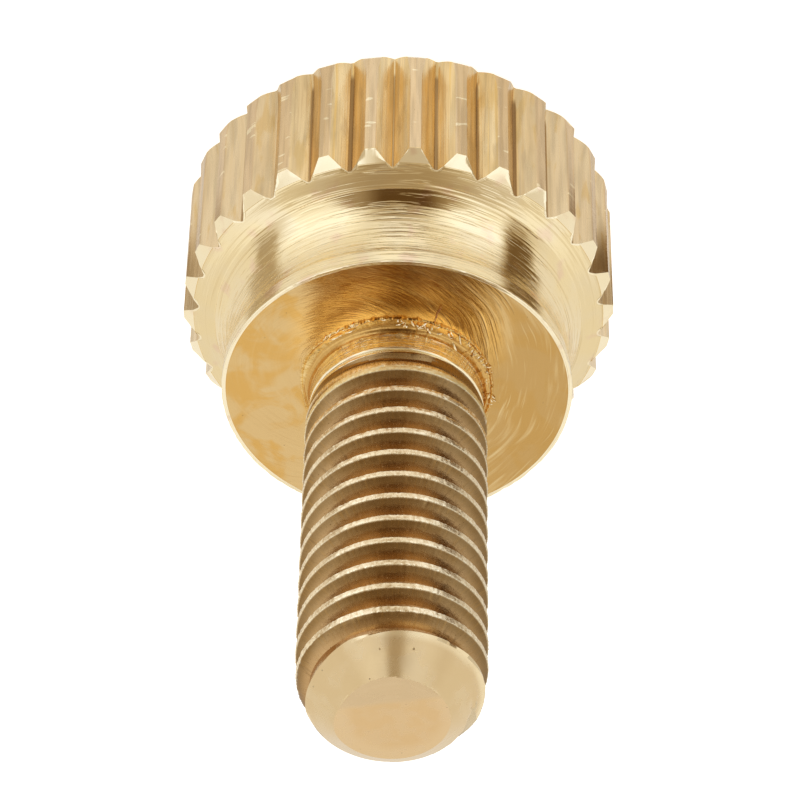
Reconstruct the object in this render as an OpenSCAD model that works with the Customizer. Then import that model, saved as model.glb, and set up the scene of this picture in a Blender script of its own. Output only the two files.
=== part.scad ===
// Thumb screw: a knurled head, a coved boss ending in a collar, a plain neck and a threaded shank,
// all turned from one bar. The axis is Z. The head's outer face lies at z = 0 and the tip points up.

/* [Head] */
// Diameter over the knurl
head_d = 12.06; // [11:0.02:16]
// Height of the knurled disc, from the outer face to the face above the knurl
disc_h = 4.52; // [3:0.02:8]
// Chamfer round the outer face
outer_chamfer = 0.38; // [0.1:0.02:0.6]
// Chamfer at the upper end of the knurl
inner_chamfer = 0.3; // [0.1:0.02:0.5]

/* [Knurl] */
// Number of straight grooves round the head
knurl_n = 30; // [20:1:34]
// Depth of each groove
knurl_depth = 0.44; // [0.2:0.01:0.5]
// Angle between a groove's two sides
knurl_angle = 98; // [70:1:100]
// Angle round the axis of the first groove
knurl_turn = 8.3; // [0:0.1:17]

/* [Boss and collar] */
// Diameter of the collar that bears on the work
collar_d = 9.6; // [8:0.1:10.4]
// Height of the straight rim of the collar
rim_h = 0.5; // [0.2:0.02:1]
// Width of the sloping shoulder between the knurl and the cove
shoulder_w = 0.6; // [0.3:0.02:0.8]
// Height that the shoulder climbs
shoulder_rise = 0.35; // [0.1:0.01:0.5]
// Height of the cove and its shoulder between the knurled disc and the rim
cove_h = 2.48; // [2.2:0.02:2.8]
// Depth of the cove at its waist, measured in from the collar's edge
cove_depth = 0.19; // [0.1:0.01:0.5]
// Height of the waist above the knurled disc
cove_rise = 1.92; // [1.6:0.02:2.2]

/* [Neck] */
// Diameter of the plain neck
neck_d = 4.82; // [4.6:0.02:4.96]
// Length of the neck, from the collar's face to the start of the thread
neck_len = 1.2; // [0.7:0.05:3]
// Radius of the fillet where the neck leaves the collar
neck_fillet = 0.33; // [0.1:0.01:0.5]

/* [Thread] */
// Outside diameter of the thread
thread_d = 5; // [5:0.02:5.3]
// Pitch of the thread, one start and right-handed
thread_pitch = 0.8; // [0.76:0.02:1]
// Depth of the thread
thread_depth = 0.4; // [0.2:0.01:0.43]
// Width of the flat on each crest
crest_w = 0.26; // [0.1:0.01:0.3]
// Angle between the two sides of the thread
thread_angle = 60; // [50:1:60]
// Length of the shank, from the collar's face to the tip
shank_len = 11.94; // [6:0.02:20]
// Angle round the axis of the thread's crest where it leaves the neck
thread_turn = 9; // [0:1:360]
// Turns over which the groove runs out at the neck
runout = 0.5; // [0.3:0.05:1.5]

/* [Tip] */
// Diameter of the flat end face
tip_d = 2.9; // [1.5:0.02:3.6]
// Angle of the tip's chamfer, measured from the end face
tip_angle = 42; // [20:1:50]

/* [Hidden] */

$fn = 96;

// Heights of the steps along the axis
collar_z = disc_h + cove_h + rim_h;
thread_z = collar_z + neck_len;
tip_z = collar_z + shank_len;

// How far a cut runs past what it cuts, and a solid into its neighbour
over = 0.5;

// The shoulder starts just inside the knurl's chamfer; the cove's arc runs from its top to the waist and the rim
foot_gap = 0.01;
foot_r = head_d / 2 - inner_chamfer - foot_gap;
shoulder_r = foot_r - shoulder_w;
waist_r = collar_d / 2 - cove_depth;
arc_w = shoulder_r - waist_r;
cove_r = (pow(arc_w, 2) + pow(cove_rise - shoulder_rise, 2)) / (2 * arc_w);

// The thread: how far its mesh reaches into the neck, its steps in a turn and its rows in a pitch
sunk = 0.3;
thread_steps = 36;
profile_rows = 4;
// Nearest that two rows of the mesh come to each other at its ends
row_gap = 0.01;
flank_w = thread_depth * tan(thread_angle / 2);
root_w = thread_pitch - crest_w - 2 * flank_w;
thread_lo = thread_z - sunk;
thread_rows = profile_rows * (ceil((tip_z - thread_lo) / thread_pitch) + 3);

// Height of profile point k above the start of a crest, and how deep the profile is there
function profile_z(k) = [0, crest_w, crest_w + flank_w, crest_w + flank_w + root_w][k];
function profile_depth(u) = thread_depth * (
    u < crest_w ? 0
    : u < profile_z(2) ? (u - crest_w) / flank_w
    : u < profile_z(3) ? 1
    : (thread_pitch - u) / flank_w);

// Height of row j of the mesh at step i round the axis; each row climbs one pitch in a turn
function row_z(i, j) = thread_lo + thread_pitch * (
    floor(j / profile_rows) - 2 + i / thread_steps) + profile_z(j % profile_rows);

// Distance of z above the start of the crest that it lies on or follows, at step i
function above_crest(i, z) = let (
    climb = (z - thread_lo) / thread_pitch - i / thread_steps + 2)
    thread_pitch * (climb - floor(climb));

// Radius of the thread's surface at step i and height z, with its run-out and its tip chamfer
function cone_r(z) = tip_d / 2 + (tip_z - z) / tan(tip_angle);
function start_r(z) = neck_d / 2 - row_gap + max(0, z - thread_z);
function fade(z) = min(1, max(0, z - thread_z) / (runout * thread_pitch));
function thread_r(i, z) = min(
    thread_d / 2 - fade(z) * profile_depth(above_crest(i, z)), cone_r(z), start_r(z));

// First and last row of step i that lie inside the thread's length
function low_row(i) = max([for (j = [0 : thread_rows - 1])
    if (row_z(i, j) < thread_lo + row_gap) j]);
function high_row(i) = min([for (j = [0 : thread_rows - 1])
    if (row_z(i, j) > tip_z - row_gap) j]);

// The threaded shank as one closed mesh whose rows follow the helix
module thread() {
    lows = [for (i = [0 : thread_steps - 1]) low_row(i)];
    highs = [for (i = [0 : thread_steps - 1]) high_row(i)];
    points = [for (i = [0 : thread_steps - 1], j = [0 : thread_rows - 1])
        let (
            z = j <= lows[i] ? thread_lo : j >= highs[i] ? tip_z : row_z(i, j),
            r = thread_r(i, z),
            a = 360 * i / thread_steps)
        [r * cos(a), r * sin(a), z]];
    // Number of the point at step i and row j; past the last step the same rows go on a turn higher
    function at(i, j) = i < thread_steps
        ? i * thread_rows + min(max(j, lows[i]), highs[i])
        : at(0, j + profile_rows);
    sides = [for (i = [0 : thread_steps - 1], j = [0 : thread_rows - profile_rows - 1])
        let (a = at(i, j), b = at(i + 1, j), c = at(i + 1, j + 1), d = at(i, j + 1))
        each [[a, c, b], [a, d, c]]];
    real_sides = [for (t = sides) if (t[0] != t[1] && t[1] != t[2] && t[2] != t[0]) t];
    bottom = [for (i = [0 : thread_steps - 1]) at(i, 0)];
    top = [for (i = [thread_steps - 1 : -1 : 0]) at(i, thread_rows - 1)];
    polyhedron(points = points, faces = concat(real_sides, [bottom, top]));
}

// The head's disc with its chamfered edges
module disc() {
    r = head_d / 2;
    rotate_extrude()
        polygon([
            [0, 0],
            [r - outer_chamfer, 0],
            [r, outer_chamfer],
            [r, disc_h - inner_chamfer],
            [r - inner_chamfer, disc_h],
            [0, disc_h]]);
}

// The boss between the disc and the collar: its shoulder, the cove turned into it, and the collar's rim
module boss() {
    translate([0, 0, disc_h])
        cylinder(r1 = foot_r, r2 = shoulder_r, h = shoulder_rise);
    translate([0, 0, disc_h])
        rotate_extrude()
            difference() {
                translate([0, -over])
                    square([shoulder_r, over + cove_h + rim_h / 2]);
                translate([waist_r + cove_r, cove_rise])
                    circle(r = cove_r);
            }
    translate([0, 0, collar_z - rim_h])
        cylinder(d = collar_d, h = rim_h);
}

// The knurl's grooves; each runs out of the head through the foot of the cove
module grooves() {
    half_w = (knurl_depth + over) * tan(knurl_angle / 2);
    for (i = [0 : knurl_n - 1])
        rotate([0, 0, knurl_turn + 360 * i / knurl_n])
            translate([0, 0, -over])
                linear_extrude(disc_h + 2 * over)
                    polygon([
                        [head_d / 2 - knurl_depth, 0],
                        [head_d / 2 + over, -half_w],
                        [head_d / 2 + over, half_w]]);
}

module head() {
    difference() {
        union() {
            disc();
            boss();
        }
        grooves();
    }
}

// The plain neck and the fillet at its foot
module neck() {
    translate([0, 0, collar_z - over])
        cylinder(d = neck_d, h = neck_len + over);
    translate([0, 0, collar_z])
        rotate_extrude()
            difference() {
                translate([0, -over])
                    square([neck_d / 2 + neck_fillet, neck_fillet + over]);
                translate([neck_d / 2 + neck_fillet, neck_fillet])
                    circle(r = neck_fillet);
            }
}

module thumb_screw() {
    color("goldenrod") {
        head();
        neck();
        rotate([0, 0, thread_turn])
            thread();
    }
}

thumb_screw();
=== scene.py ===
"""Looks of the turned brass thumb screw: its detailed meshes, brass finishes, studio and camera."""
import math

import bpy
import numpy as np
from mathutils import Matrix, Vector


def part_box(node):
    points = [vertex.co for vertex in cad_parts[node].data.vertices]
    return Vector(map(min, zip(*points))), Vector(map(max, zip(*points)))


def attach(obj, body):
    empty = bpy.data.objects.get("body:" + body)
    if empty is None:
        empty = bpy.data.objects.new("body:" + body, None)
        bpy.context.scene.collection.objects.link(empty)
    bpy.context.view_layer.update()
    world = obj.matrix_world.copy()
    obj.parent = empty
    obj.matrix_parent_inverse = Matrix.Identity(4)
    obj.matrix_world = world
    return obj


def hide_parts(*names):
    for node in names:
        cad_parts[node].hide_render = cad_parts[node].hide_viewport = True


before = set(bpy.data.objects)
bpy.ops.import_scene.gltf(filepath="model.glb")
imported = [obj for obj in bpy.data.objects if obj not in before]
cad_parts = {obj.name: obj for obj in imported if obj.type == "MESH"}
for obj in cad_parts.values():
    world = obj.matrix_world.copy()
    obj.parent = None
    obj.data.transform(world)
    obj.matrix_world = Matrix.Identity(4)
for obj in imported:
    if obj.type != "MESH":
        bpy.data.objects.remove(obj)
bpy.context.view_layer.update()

MM = 0.001
SHARP = 32
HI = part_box("thumb_screw")[1]

# Sizes in millimetres, on the part's own axis; angles are round +Z from +X, in degrees
TOP = HI.z / MM
HEAD_R = max(HI.x, HI.y) / MM
DISC_H = 4.52
COVE_TOP = 7.0
COLLAR_Z = 7.5
COLLAR_R = 4.8
# The knurl: half the angle from groove to groove, and the angle of the first rib's middle
RIBS = 30
HALF_RIB = 180 / RIBS
RIB_TURN = 8.3 + HALF_RIB
PITCH = 0.8
# Height of the crest's middle where the helix crosses +X, less whole turns, and the crest's width
CREST_Z, CREST_W = 7.715, 0.155
THREAD_R = 2.5
# The tip's chamfer: its angle from the end face, its tilt in front and its swell at the sides
TIP_ANGLE, TIP_TILT, TIP_SWELL = 41.4, 6.1, 4.0
# The end face: the middle of its rings, and the line at which its lower front flat starts
END_X, END_Y = -0.11, -0.09
FLAT_Y, FLAT_SLANT = -0.62, 0.2


def smooth(x, a, b):
    """0 below a, 1 above b, and a smooth climb between them."""
    t = np.clip((np.asarray(x, float) - a) / (b - a), 0, 1)
    return t * t * (3 - 2 * t)


def bump_at(x, centre, half):
    """A smooth hump of height 1 at centre that ends at half on both sides."""
    return 1 - smooth(np.abs(np.asarray(x, float) - centre), 0, half)


def noise(seed, deg, h, around, per_mm, octaves=3):
    """Smooth noise in -1..1 over the unrolled surface: around cells in a turn, per_mm cells along."""
    total, amp, norm = 0.0, 1.0, 0.0
    for o in range(octaves):
        n_a, n_h = int(around * 2 ** o), 512
        grid = np.random.default_rng(seed * 31 + o).uniform(-1, 1, (n_a, n_h))
        u = (np.asarray(deg, float) % 360) / 360 * n_a
        v = np.asarray(h, float) * per_mm * 2 ** o + 100
        i, j = np.floor(u).astype(int), np.floor(v).astype(int)
        fu, fv = u - i, v - j
        fu, fv = fu * fu * (3 - 2 * fu), fv * fv * (3 - 2 * fv)
        i0, i1, j0, j1 = i % n_a, (i + 1) % n_a, j % n_h, (j + 1) % n_h
        total = total + amp * ((grid[i0, j0] * (1 - fu) + grid[i1, j0] * fu) * (1 - fv)
                               + (grid[i0, j1] * (1 - fu) + grid[i1, j1] * fu) * fv)
        norm += amp
        amp *= 0.5
    return total / norm


def pits(seed, deg, h, around, per_mm, share, radius):
    """Sparse round dents, 1 at their middle: the share of cells that hold one, and its radius in cells."""
    rng = np.random.default_rng(seed)
    n_h = 512
    cu, cv = rng.uniform(0.2, 0.8, (around, n_h)), rng.uniform(0.2, 0.8, (around, n_h))
    size = rng.uniform(0.4, 1, (around, n_h)) * (rng.random((around, n_h)) < share)
    u = (np.asarray(deg, float) % 360) / 360 * around
    v = np.asarray(h, float) * per_mm + 100
    i, j = np.floor(u).astype(int), np.floor(v).astype(int)
    best = np.zeros(np.broadcast(u, v).shape)
    for di in (-1, 0, 1):
        for dj in (-1, 0, 1):
            a, b = (i + di) % around, (j + dj) % n_h
            s = size[a, b]
            d = np.hypot(u - i - di - cu[a, b], v - j - dj - cv[a, b]) / (radius * np.maximum(s, 1e-6))
            best = np.maximum(best, np.where(s > 0, s * np.clip(1 - d * d, 0, 1), 0))
    return best


def place_object(name, data):
    obj = bpy.data.objects.new(name, data)
    bpy.context.scene.collection.objects.link(obj)
    return obj


def make_object(name, points, faces, materials, slots):
    """An object from points in millimetres, smooth but for edges sharper than SHARP degrees."""
    mesh = bpy.data.meshes.new(name)
    mesh.from_pydata((np.asarray(points) * MM).tolist(), [], faces)
    for m in materials:
        mesh.materials.append(m)
    mesh.polygons.foreach_set("material_index", np.asarray(slots, np.int32))
    mesh.polygons.foreach_set("use_smooth", np.ones(len(faces), bool))
    mesh.update()
    mesh.set_sharp_from_angle(angle=math.radians(SHARP))
    return place_object(name, mesh)


def polar(deg, r, z):
    """Points at angle deg, radius r and height z."""
    a = np.radians(deg)
    return np.stack([r * np.cos(a), r * np.sin(a), z + 0 * r], -1)


class Rows:
    """Rows of points round the axis, each with the material slot of the band that starts at it."""

    def __init__(self):
        self.rows, self.slots = [], []

    def add(self, deg, r, z, slot):
        self.rows.append(polar(deg, r + 0 * deg, z + 0 * deg))
        self.slots.append(slot)

    def lathe(self):
        """Joins each row to the next and closes both ends with a fan. Gives points, faces and their slots."""
        rows = np.array(self.rows)
        n_r, n_c = rows.shape[:2]
        points = rows.reshape(-1, 3).tolist()
        faces, slots = [], []
        column, following = np.arange(n_c), (np.arange(n_c) + 1) % n_c
        for j in range(n_r - 1):
            a, b = j * n_c + column, j * n_c + following
            faces += np.stack([a, b, b + n_c, a + n_c], -1).tolist()
            slots += [self.slots[j]] * n_c
        for j, flip in ((0, True), (n_r - 1, False)):
            points.append([0, 0, float(rows[j, :, 2].mean())])
            c = len(points) - 1
            a, b = j * n_c + column, j * n_c + following
            faces += np.stack([b, a, 0 * a + c] if flip else [a, b, 0 * a + c], -1).tolist()
            slots += [self.slots[min(j, n_r - 2)]] * n_c
        return points, faces, slots


# ---- knurled head, cove, rim and collar face
def az_of(deg):
    """Angle from the side that the photograph faces, + to the photograph's left, in -180..180."""
    return (deg + 90 + 180) % 360 - 180


# Half the angle of a groove's V, the radius of the lands, and the radius at which the V's sides meet
KNURL_HALF = math.radians(49)
LAND_R = HEAD_R - 0.012
APEX_R = 5.575
OUTER_C, INNER_C = 0.45, 0.3
CHAMFER_R = HEAD_R - INNER_C
# Heights of the lowest and the highest of the knurl's sections
KNURL_LOW, KNURL_HIGH = 0.2, DISC_H - 0.15
# The cove's waist and arc; the shoulder outside it; the radius where all columns join the shoulder
WAIST_R, WAIST_Z, COVE_ARC = 4.61, 6.44, 2.67
SHOULDER_R, SHOULDER_RISE = 5.12, 0.35
JOIN_R = 5.5
SHOULDER_ROWS, COVE_ROWS = 12, 72
# Parts of the knurl's outline; the head's material slots
ROOT, LEFT, LAND, RIGHT = range(4)
FACE, KNURL, EDGE, TURNED, COLLAR, LIP = range(6)


def shoulder_z(r):
    """Height of the shoulder, a little hollow, where it has radius r."""
    u = (CHAMFER_R - r) / (CHAMFER_R - SHOULDER_R)
    return DISC_H + SHOULDER_RISE * u * (0.775 + 0.225 * u)


def outer_z(r):
    """Height of the rounded outer chamfer where it has radius r."""
    x = np.clip((r - (HEAD_R - OUTER_C)) / OUTER_C, 0, 1)
    return OUTER_C * (0.45 * x + 0.55 * (1 - np.sqrt(1 - x * x)))


class Knurl:
    """The head's grooved side, with columns on the edges of the lands and of the grooves' floors."""

    def __init__(self):
        rng = np.random.default_rng(5)
        self.apex = APEX_R + rng.uniform(-0.015, 0.02, RIBS)
        self.floor = rng.uniform(0.06, 0.45, RIBS)
        self.burr = rng.uniform(0, 1, (RIBS, 2)) ** 1.6
        side = np.array([0, 0.17, 0.34, 0.51, 0.68, 0.85])
        top = np.array([-1, -0.86, -0.7, -0.3, 0.3, 0.7, 0.86, 1])
        part = np.array([ROOT] + [LEFT] * len(side) + [LAND] * len(top) + [RIGHT] * len(side))
        share = np.concatenate([[0], side, top, side[::-1]])
        self.rib = np.repeat(np.arange(RIBS), len(part))
        self.part, self.share = np.tile(part, RIBS), np.tile(share, RIBS)

    def section(self, z):
        """Angle and radius of every column at height z, with the burr on the lands' edges."""
        part, share, rib, floor = self.part, self.share, self.rib, self.floor
        left, right = rib, (rib + 1) % RIBS
        k = 1 / math.tan(KNURL_HALF)
        root = self.apex + 0.07 * (1 - smooth(z, 0.1, 0.9))
        edge = np.degrees(np.arccos(np.clip(root / LAND_R / math.hypot(1, k), -1, 1)) - math.atan(k))
        b_l = floor[left] + (edge[left] - floor[left]) * share
        b_r = floor[right] + (edge[right] - floor[right]) * share
        lo, hi = -HALF_RIB + edge[left], HALF_RIB - edge[right]
        phi = np.select([part == ROOT, part == LEFT, part == LAND],
                        [-HALF_RIB + 0 * b_l, -HALF_RIB + b_l, lo + (share + 1) / 2 * (hi - lo)],
                        HALF_RIB - b_r)
        deg = RIB_TURN + 2 * HALF_RIB * rib + phi
        from_root = np.where(phi < 0, np.maximum(phi + HALF_RIB, floor[left]),
                             np.maximum(HALF_RIB - phi, floor[right]))
        b = np.radians(from_root)
        apex_r = np.where(phi < 0, root[left], root[right])
        r = np.where(part == LAND, LAND_R, apex_r / (np.cos(b) - k * np.sin(b)))
        r = r - 0.07 * smooth(np.abs(az_of(deg)), 105, 145)
        drawn = 0.004 * noise(11, deg, z * 0.2, 360, 1.0, 2) + 0.001 * noise(12, deg, z, 500, 2, 2)
        r = r + np.where((part == LEFT) | (part == RIGHT), drawn, 0)
        on_edge = (np.abs(share) == 0.86) * (part == LAND)
        amount = np.where(phi < 0, self.burr[rib, 0], self.burr[rib, 1]) * on_edge
        raised = 0.01 * amount * (0.35 + 0.65 * smooth(noise(13, deg, z, 90, 5, 2), -0.4, 0.5))
        turned = 0.002 * noise(14, 0 * deg + 7 * rib, z, 60, 9, 2) * (part == LAND)
        return deg, np.minimum(r + raised + turned, HEAD_R - 0.001)


def add_knurl(rows):
    """The outer face and its rounded chamfer, the knurl and its end facets. Gives the columns' angles."""
    knurl = Knurl()
    deg0, r0 = knurl.section(KNURL_LOW)
    deg, r1 = knurl.section(KNURL_HIGH)
    on_chamfer = r1 > CHAMFER_R
    z0 = outer_z(r0)
    z1 = np.where(on_chamfer, DISC_H - (r1 - CHAMFER_R), shoulder_z(np.minimum(r1, CHAMFER_R)))
    for r in (0.6, 3.0, 5.2):
        rows.add(deg0, r, 0, FACE)
    start = np.minimum(r0, HEAD_R - OUTER_C)
    rows.add(deg0, start, 0, FACE)
    for t in (0.25, 0.5, 0.75):
        r = start + (r0 - start) * t
        rows.add(deg0, r, outer_z(r) * (r0 > start), KNURL)
    rows.add(deg0, r0, z0, KNURL)
    for s in np.concatenate([[0.02, 0.05], np.linspace(0.1, 0.9, 15), [0.95, 0.985]]):
        at, r = knurl.section(KNURL_LOW + (KNURL_HIGH - KNURL_LOW) * s)
        rows.add(at, r, z0 + (z1 - z0) * s, KNURL)

    # The knurl's end: a slanted edge with its burr, the chamfer's facets, and a fine groove at their foot.
    # Columns that end in a groove of the knurl go straight on to the shoulder
    lip = np.clip(noise(15, deg, 0, 420, 1, 2) + 0.25, 0, 1) * np.where(knurl.part == LAND, 0.5, 1.0)
    rows.add(deg, r1 + 0.012 * lip, z1 + 0.01 * lip, EDGE)
    fine_groove = 0.014
    path = [(0.14, 0, EDGE), (0.6, 0, EDGE), (1, 0, TURNED)]
    path += [(1, inward, TURNED) for inward in (fine_groove, 0.04, 0.1, 0.165)]
    for j, (t, inward, slot) in enumerate(path):
        r = r1 + (CHAMFER_R - r1) * t
        z = DISC_H - (r - CHAMFER_R)
        if inward:
            r = CHAMFER_R - inward + 0 * r1
            z = shoulder_z(r) - 0.012 * (inward == fine_groove)
        in_groove = r1 + (JOIN_R - r1) * (j + 1) / (len(path) + 1)
        groove_z = shoulder_z(np.minimum(in_groove, CHAMFER_R))
        rows.add(deg, np.where(on_chamfer, r, in_groove), np.where(on_chamfer, z, groove_z), slot)
    return deg


def add_cove(rows, deg):
    """The shoulder and the cove, with the tool's rings and a few scored lines; the deepest parts the two."""
    up = math.degrees(math.acos((WAIST_R + COVE_ARC - SHOULDER_R) / COVE_ARC))
    down = -math.degrees(math.asin((COVE_TOP - 0.012 - WAIST_Z) / COVE_ARC))
    slope = 60
    path = [(r, shoulder_z(r), slope) for r in np.linspace(JOIN_R - 0.03, SHOULDER_R + 0.012, SHOULDER_ROWS)]
    for a in np.linspace(up, down, COVE_ROWS):
        turn = math.radians(a)
        path.append((WAIST_R + COVE_ARC - COVE_ARC * math.cos(turn), WAIST_Z - COVE_ARC * math.sin(turn), a))
    for j, (r, z, a) in enumerate(path):
        s = j * 0.031
        tool = (0.001 * noise(21, 0 * deg, s, 4, 12, 1) + 0.0014 * noise(22, 0 * deg, s, 4, 5, 1)
                + 0.0006 * noise(23, deg, s, 9, 14, 1) + 0.0022 * noise(24, 0 * deg, s, 4, 1.1, 1))
        score = 0.007 * (j == SHOULDER_ROWS) + 0.003 * (j in (4, 8, 27, 43, 55, 66))
        g = (tool - score) * smooth(min(j, len(path) - 1 - j), 0, 2)
        n = math.radians(a)
        rows.add(deg, r + g * math.cos(n), z + g * math.sin(n), TURNED)
    rows.add(deg, 4.69, COVE_TOP, TURNED)


def add_rim(rows, deg):
    """The collar's straight rim with its turning marks."""
    rows.add(deg, COLLAR_R - 0.03, COVE_TOP, TURNED)
    for z in (COVE_TOP + 0.02, 7.1, 7.16, 7.22, 7.3, 7.36, 7.42):
        marks = 0.0015 * noise(25, 0 * deg, z, 4, 25, 1) + 0.0015 * noise(26, deg, z, 60, 8, 2)
        rows.add(deg, COLLAR_R + marks, z, TURNED)


def add_bead(rows, deg):
    """The edge that the facing tool left: a torn bead, thicker in places, with small chips out of it."""
    bead = 0.5 + 0.5 * noise(27, deg, 0, 110, 1, 3)
    broad = 0.5 + 0.5 * noise(28, deg, 2, 9, 1, 2)
    chip = smooth(noise(29, deg, 3, 150, 1, 2), 0.25, 0.75)
    swell = (0.006 + 0.02 * bead) * (0.6 + 0.8 * broad) - 0.012 * chip
    for r, z, share in ((0.000, 7.455, 0.3), (0.004, 7.475, 0.9), (0.000, 7.494, 1.1),
                        (-0.012, 7.504, 0.9), (-0.03, 7.505, 0.6), (-0.055, 7.501, 0.2)):
        rows.add(deg, COLLAR_R + r + share * (swell - 0.008), z + share * 0.5 * (swell - 0.006), LIP)


def add_collar_face(rows, deg):
    """The collar's face, which lies a little lower at its edge."""
    for r in (4.7, 4.55, 4.3, 4.05, 3.8, 3.55, 3.3, 3.1, 2.95, 2.8, 2.5, 1.5, 0.5):
        z = COLLAR_Z + 0.0012 * noise(30, deg, r, 14, 2.2, 2) + 0.002 * smooth(r, 4.7, 4.0)
        rows.add(deg, r, z, COLLAR)


def head():
    """The knurled disc, the shoulder and cove above it, the rim and the collar's face."""
    rows = Rows()
    deg = add_knurl(rows)
    add_cove(rows, deg)
    add_rim(rows, deg)
    add_bead(rows, deg)
    add_collar_face(rows, deg)
    return rows.lathe()


# ---- foot of the neck
NECK_R = 2.375
NECK_END = COLLAR_Z + 0.55
FILLET_TOP = 0.32
BURR, SHELF, PLAIN = range(3)


def ring_r(az):
    """Outer radius of the burr that the die pushed up round the neck."""
    return 2.58 + 0.225 * (1 - smooth(az, 58, 100)) * (1 - smooth(-az, 30, 120))


def foot():
    """The burr round the neck, the shelf behind it, the fillet, and the plain neck up to its first step."""
    deg = np.arange(1200) * 0.3
    az = az_of(deg)
    torn = (1 - smooth(az, 46, 64)) * (1 - smooth(-az, 92, 130)) + 0.18
    rag = noise(31, deg, 0, 150, 1, 3)
    rag2 = noise(32, deg, 5, 260, 1, 2)
    edge = ring_r(az) + 0.012 * noise(33, deg, 0, 26, 1, 2) + 0.016 * rag * torn
    high = 0.014 + torn * (0.04 + 0.03 * noise(34, deg, 0, 40, 1, 2) + 0.03 * np.clip(rag2, -0.4, 1))
    high = np.maximum(high, 0.008)
    rows = Rows()

    def add(r, z, slot):
        """A row at height z above the collar's face."""
        rows.add(deg, r, COLLAR_Z + z, slot)

    add(edge + 0.01, -0.03, BURR)
    add(edge + 0.004, 0.0 * high, BURR)
    add(edge - 0.004 + 0.006 * rag2 * torn, 0.55 * high, BURR)
    add(edge - 0.016 + 0.012 * rag2 * torn, 0.95 * high, BURR)
    add(edge - 0.032 + 0.012 * rag * torn, high, BURR)
    add(edge - 0.05, 0.75 * high, BURR)
    add(edge - 0.072, 0.3 * high, SHELF)
    # The shelf sinks into four pockets
    pocket = 0
    for deep, middle, half in ((0.07, 38, 11), (0.05, -12, 9), (0.04, -30, 8), (0.03, -88, 9)):
        pocket = pocket + deep * bump_at(az, middle, half)
    shelf = 0.012 + 0.03 * smooth(az, 55, 75)
    step_r = np.minimum(NECK_R + 0.15 + 0.05 * (1 - smooth(np.abs(az - 22), 20, 45)), edge - 0.11)
    for t in (0.12, 0.35, 0.6, 0.85):
        r = (edge - 0.08) + (step_r - edge + 0.08) * t
        rough = 0.012 * noise(35, deg, t * 4, 160, 1, 3) * torn
        add(r, shelf * t - pocket * bump_at(t, 0.45, 0.75) + rough, SHELF)
    add(step_r, shelf, SHELF)
    for u in np.linspace(0.06, 1, 13):
        a = u * math.pi / 2
        rough = 0.006 * noise(36, deg, u * 3, 60, 1, 3) * torn * (1 - u)
        r = NECK_R + (step_r - NECK_R) * (1 - math.sin(a)) + rough
        add(r, shelf + (FILLET_TOP - shelf) * (1 - math.cos(a)), SHELF if u < 0.72 else PLAIN)
    for z in (0.38, 0.42, 0.46, 0.5, 0.54, 0.58, 0.62, 0.66, 0.7, 0.735):
        flare = 0.01 * smooth(z, 0.6, 0.735)
        add(NECK_R + 0.006 + flare + 0.001 * noise(37, 0 * deg, z, 4, 22, 1), z, PLAIN)
    for r, z in ((0.015, 0.756), (0.006, 0.77), (-0.016, 0.788), (-0.075, 0.808)):
        add(NECK_R + r + 0.004 * noise(38, deg, z, 40, 3, 2), z, PLAIN)
    return rows.lathe()


def sliver(az, r, z, heading, length, width, lift, curl, seed):
    """A closed torn chip from (az, r, z) along heading (0 outward, 90 round the neck), lifted and curled."""
    rng = np.random.default_rng(seed)
    a = math.radians(az - 90)
    out = np.array([math.cos(a), math.sin(a), 0])
    along = np.array([-math.sin(a), math.cos(a), 0])
    h = math.radians(heading)
    t_dir = out * math.cos(h) + along * math.sin(h)
    s_dir = np.cross([0, 0, 1], t_dir)
    base = out * r + np.array([0, 0, COLLAR_Z + z])
    n = 9
    section = ((1, 0), (0.1, 0.38), (-1, 0.1), (-0.1, -0.3))
    m = len(section)
    points, faces = [], []
    for k in range(n):
        t = k / (n - 1)
        centre = base + t_dir * length * t + s_dir * curl * length * t * t
        centre = centre + np.array([0, 0, lift * math.sin(math.pi * min(t * 0.8 + 0.1, 1))])
        w = width * (0.25 + 0.75 * math.sin(math.pi * (0.12 + 0.8 * t))) * rng.uniform(0.75, 1.1)
        roll = 0.6 * (t - 0.5) + rng.uniform(-0.15, 0.15)
        side = s_dir * math.cos(roll) + np.array([0, 0, 1]) * math.sin(roll)
        normal = np.cross(t_dir, side)
        for x, y in section:
            points.append(centre + side * x * w / 2 + normal * y * w)
    for k in range(n - 1):
        for c in range(m):
            p, q = k * m + c, k * m + (c + 1) % m
            faces.append([p, q, q + m, p + m])
    faces += [list(range(m))[::-1], [m * (n - 1) + c for c in range(m)]]
    return points, faces


# Material slots of the chips
CHIP, FIBRE = range(2)


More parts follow.
